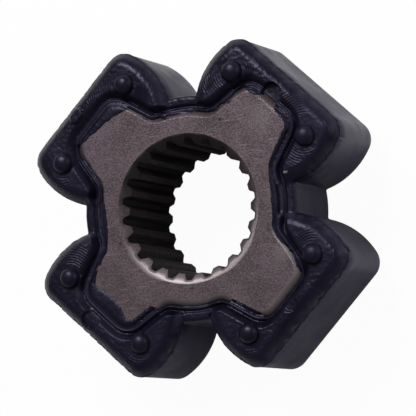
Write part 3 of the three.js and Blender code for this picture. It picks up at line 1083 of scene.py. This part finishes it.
def make_camera():
    data = bpy.data.cameras.new("camera")
    data.lens = CAMERA_LENS
    data.sensor_width = SENSOR_WIDTH
    data.clip_start, data.clip_end = 0.01, 20
    camera = new_object("camera", data)
    place = FOCUS + VIEW_BACK * CAMERA_DISTANCE
    aim = FOCUS + VIEW_RIGHT * AIM_RIGHT + VIEW_UP * AIM_UP
    back = (place - aim).normalized()
    right = VIEW_UP.cross(back).normalized()
    up = back.cross(right)
    turn = Matrix((right, up, back)).transposed().to_4x4()
    camera.matrix_world = Matrix.Translation(place) @ turn
    bpy.context.scene.camera = camera


def make_lamp(name, toward, distance, size, power):
    """A soft square lamp, placed by its direction in the camera's right, up and back."""
    data = bpy.data.lights.new(name, "AREA")
    data.shape = "SQUARE"
    data.size = size
    data.energy = power
    lamp = new_object(name, data)
    direction = VIEW_RIGHT * toward[0] + VIEW_UP * toward[1] + VIEW_BACK * toward[2]
    direction.normalize()
    lamp.location = FOCUS + direction * distance
    lamp.rotation_mode = "QUATERNION"
    lamp.rotation_quaternion = direction.to_track_quat("Z", "Y")


def make_world(sizes):
    world = bpy.data.worlds.new("studio")
    bpy.context.scene.world = world
    w = blank_wires(world)
    path = w.add("ShaderNodeLightPath")
    seen = path.outputs["Is Camera Ray"]
    strength = w.math("ADD", w.math("MULTIPLY", seen, 1 - sizes.sky_level), sizes.sky_level)
    sky = w.add("ShaderNodeBackground", Color=(1, 1, 1, 1), Strength=strength)
    w.add("ShaderNodeOutputWorld", Surface=sky.outputs[0])


def make_floor(sizes):
    data = bpy.data.meshes.new("floor")
    corners = ((-1, -1), (1, -1), (1, 1), (-1, 1))
    data.from_pydata([(a * FLOOR_HALF, b * FLOOR_HALF, FLOOR_LEVEL) for a, b in corners], [],
                     [(0, 1, 2, 3)])
    floor = new_object("floor", data)
    material = bpy.data.materials.new("white_floor")
    w = blank_wires(material)
    diffuse = w.add("ShaderNodeBsdfDiffuse", Color=(0.86, 0.86, 0.86, 1))
    glow = w.add("ShaderNodeEmission", Color=(1, 1, 1, 1), Strength=1.0)
    path = w.add("ShaderNodeLightPath")
    share = w.math("MULTIPLY", path.outputs["Is Camera Ray"], sizes.floor_glow)
    mixed = w.add("ShaderNodeMixShader")
    for key, value in zip("012", (share, diffuse.outputs[0], glow.outputs[0])):
        w.put(mixed, key, value)
    w.add("ShaderNodeOutputMaterial", Surface=mixed.outputs[0])
    data.materials.append(material)


# Add-on.
def number(name, description, default):
    return bpy.props.FloatProperty(name=name, description=description, default=default)


def tint(name, description, *default):
    return bpy.props.FloatVectorProperty(name=name, description=description, subtype="COLOR",
                                         size=3, default=default)


class CouplerSizes(bpy.types.PropertyGroup):
    """Sizes in millimetres and colours that a user may change"""

    nub_reach: number("Nub Reach", "From the bore's axis, in mm", 24.1)
    nub_half_angle: number("Nub Half Angle", "From the arm's axis, in degrees", 20.9)
    nub_radius: number("Nub Radius", "In mm", 1.75)
    nub_height: number("Nub Height", "Above the arm's front, in mm", 1.42)
    ripple_pitch: number("Ripple Pitch", "Between mould rings round a nub, in mm", 0.45)
    steel_colour: tint("Steel", "Sintered face", 0.098, 0.074, 0.084)
    # Bright steel for the worn edges, and the painted highlight on the lower side of the edges and the
    # mouth.
    bright_steel_colour: tint("Bright Steel", "Worn edges and the bore's mouth", 0.85, 0.74, 0.75)
    # Colour of the painted shade in the spline walls and on the upper side of the mouth.
    bore_shade_colour: tint("Bore", "Dark spline walls", 0.019, 0.0165, 0.018)
    rubber_colour: tint("Rubber", "Front of the cross", 0.0045, 0.004, 0.0115)
    # Colour of the sides, painted lighter than the front as a painted sheen.
    lit_wall_colour: tint("Rubber Walls", "Smooth sides of the cross", 0.016, 0.013, 0.033)
    # Colour of the painted highlight on the shoulders and the bead.
    highlight_colour: tint("Rubbed Rubber", "Shoulders rubbed lighter", 0.02, 0.018, 0.033)
    rubber_gloss: number("Rubber Gloss", "Specular level", 0.28)
    sky_level: number("Sky Level", "Strength of the surroundings off camera", 0.25)
    floor_glow: number("Floor Glow", "Share of plain white that the camera sees in the floor", 0.96)


class COUPLER_OT_hub(bpy.types.Operator):
    """Build the splined hub from one tooth and one lobe"""

    bl_idname = "coupler.hub"
    bl_label = "Hub"

    def execute(self, context):
        hand_over(make_hub(context.scene.coupler), "sintered_steel", "splined_hub")
        return {"FINISHED"}


class COUPLER_OT_rubber(bpy.types.Operator):
    """Build the rubber cross round the hub"""

    bl_idname = "coupler.rubber"
    bl_label = "Rubber Cross"

    def execute(self, context):
        hand_over(make_rubber(context.scene.coupler), "moulded_rubber", "rubber_cross")
        return {"FINISHED"}


class COUPLER_OT_nubs(bpy.types.Operator):
    """Put the two nubs on each arm's front"""

    bl_idname = "coupler.nubs"
    bl_label = "Nubs"

    def execute(self, context):
        hand_over(make_nubs(context.scene.coupler), "moulded_rubber")
        return {"FINISHED"}


class COUPLER_OT_stage(bpy.types.Operator):
    """Set the camera, the lamps, the surroundings and the floor"""

    bl_idname = "coupler.stage"
    bl_label = "Stage"

    def execute(self, context):
        sizes = context.scene.coupler
        make_camera()
        make_world(sizes)
        make_floor(sizes)
        make_lamp("key_lamp", (-0.55, 0.75, 0.7), distance=0.7, size=0.26, power=3.9)
        make_lamp("fill_lamp", (0.8, 0.5, 0.8), distance=0.9, size=0.5, power=1.2)
        context.scene.view_settings.view_transform = "Standard"
        return {"FINISHED"}


class COUPLER_PT_panel(bpy.types.Panel):
    """Sizes, colours and build steps"""

    bl_label = "Coupler"
    bl_idname = "COUPLER_PT_panel"
    bl_space_type = "VIEW_3D"
    bl_region_type = "UI"
    bl_category = "Coupler"

    def draw(self, context):
        for name in CouplerSizes.__annotations__:
            self.layout.prop(context.scene.coupler, name)
        for kind in OPERATORS:
            self.layout.operator(kind.bl_idname)


OPERATORS = (COUPLER_OT_hub, COUPLER_OT_rubber, COUPLER_OT_nubs, COUPLER_OT_stage)
CLASSES = (CouplerSizes, *OPERATORS, COUPLER_PT_panel)


def register():
    for kind in CLASSES:
        bpy.utils.register_class(kind)
    bpy.types.Scene.coupler = bpy.props.PointerProperty(type=CouplerSizes)


def unregister():
    del bpy.types.Scene.coupler
    for kind in reversed(CLASSES):
        bpy.utils.unregister_class(kind)


def main():
    register()
    bpy.ops.coupler.hub()
    bpy.ops.coupler.rubber()
    bpy.ops.coupler.nubs()
    bpy.ops.coupler.stage()


if __name__ == "__main__":
    main()
